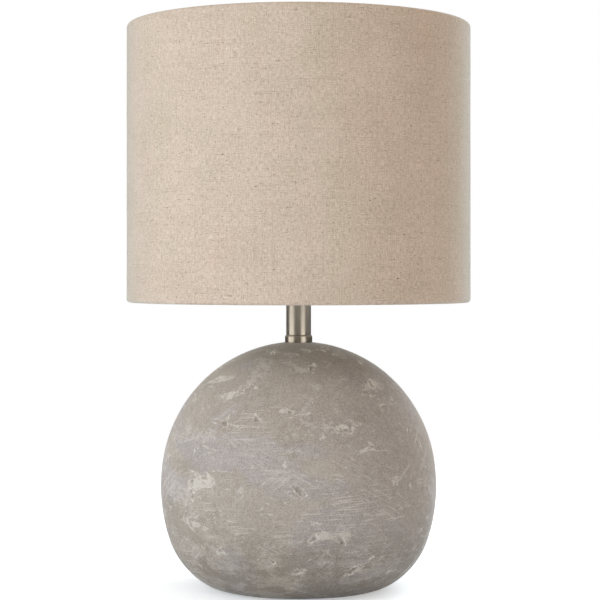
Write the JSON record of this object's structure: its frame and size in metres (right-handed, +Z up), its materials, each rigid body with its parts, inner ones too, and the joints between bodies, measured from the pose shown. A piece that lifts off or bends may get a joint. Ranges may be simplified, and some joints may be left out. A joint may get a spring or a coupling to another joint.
{
  "type": "table lamp",
  "caption": "Table lamp: hollow concrete ball base, brushed nickel neck, harp and spider, and a straight linen drum shade over a screw-base bulb.",
  "frame": {"origin": "on the lamp's axis at the underside of the felt pad, the point it stands on", "axes": "+Z up along the lamp's axis; the harp lies in the XZ plane, the switch key points to -Y and the cord outlet to +Y"},
  "size_m": [0.254, 0.254, 0.4234],
  "materials": {
    "concrete": "matt cast concrete with air pits and pale blotches",
    "felt": "pressed felt",
    "black_plastic": "moulded, matt",
    "zinc_steel": "zinc plated",
    "brushed_nickel": "brushed round the axis, warm nickel plate",
    "harp_nickel": "bright nickel plate",
    "brass": "satin brass",
    "fibre_board": "pressed fibre",
    "phenolic": "moulded phenolic",
    "bulb_metal": "rolled thread, satin",
    "black_glass": "black insulating glass",
    "white_plastic": "moulded, satin",
    "led_yellow": "phosphor",
    "opal_diffuser": "opal, satin",
    "white_liner": "white styrene sheet",
    "linen": "plain woven natural linen with slubs and flecks"
  },
  "bodies": {
    "base": {"concrete_base": "concrete", "base_felt_pad": "felt", "cord_grommet": "black_plastic", "clamp_washer": "zinc_steel", "clamp_nut": "brass", "threaded_pipe": "zinc_steel", "neck_collar": "brushed_nickel", "neck_tube": "brushed_nickel", "neck_top_cap": "brushed_nickel", "harp_saddle": "brushed_nickel", "saddle_nut": "zinc_steel", "socket_cap": "brushed_nickel", "socket_set_screw": "zinc_steel", "socket_shell": "brushed_nickel", "socket_shell_liner": "fibre_board", "socket_body": "phenolic", "socket_screw_shell": "brass", "socket_center_contact": "brass", "terminal_screws": "brass"},
    "switch": {"switch_rotor": "fibre_board", "switch_shaft": "brass", "switch_key": "phenolic"},
    "bulb": {"bulb_center_contact": "bulb_metal", "bulb_base_insulator": "black_glass", "bulb_screw_base": "bulb_metal", "bulb_housing": "white_plastic", "bulb_led_board": "bulb_metal", "bulb_leds": "led_yellow", "bulb_diffuser": "opal_diffuser"},
    "harp": {"harp_wire_left": "harp_nickel", "harp_wire_right": "harp_nickel", "harp_top_plate": "harp_nickel"},
    "sleeve_left": {"harp_sleeve_left": "harp_nickel"},
    "sleeve_right": {"harp_sleeve_right": "harp_nickel"},
    "stud": {"harp_stud": "brass"},
    "shade": {"spider_hub": "harp_nickel", "spider_arm_back": "harp_nickel", "spider_arm_left": "harp_nickel", "spider_arm_right": "harp_nickel", "shade_top_ring": "harp_nickel", "shade_bottom_ring": "harp_nickel", "shade_liner": "white_liner", "shade_fabric": "linen"},
    "finial": {"finial": "brushed_nickel"}
  },
  "joints": [
    {"name": "switch_turn", "type": "hinge", "parent": "base", "child": "switch", "pos_m": [0, -0.012, 0.24766], "axis": [0, 1, 0], "continuous": true},
    {"name": "bulb_unscrew", "type": "slide", "parent": "base", "child": "bulb", "axis": [0, 0, 1], "range_m": [0, 0.026]},
    {"name": "harp_lift", "type": "slide", "parent": "base", "child": "harp", "axis": [0, 0, 1], "range_m": [0, 0.02]},
    {"name": "left_sleeve_lift", "type": "slide", "parent": "harp", "child": "sleeve_left", "axis": [0, 0, 1], "range_m": [0, 0.014]},
    {"name": "right_sleeve_lift", "type": "slide", "parent": "harp", "child": "sleeve_right", "axis": [0, 0, 1], "range_m": [0, 0.014]},
    {"name": "shade_swivel", "type": "hinge", "parent": "harp", "child": "stud", "pos_m": [0, 0, 0.39666], "axis": [0, 0, 1], "continuous": true},
    {"name": "shade_lift", "type": "slide", "parent": "stud", "child": "shade", "axis": [0, 0, 1], "range_m": [0, 0.215]},
    {"name": "finial_unscrew", "type": "slide", "parent": "shade", "child": "finial", "axis": [0, 0, 1], "range_m": [0, 0.012]}
  ]
}
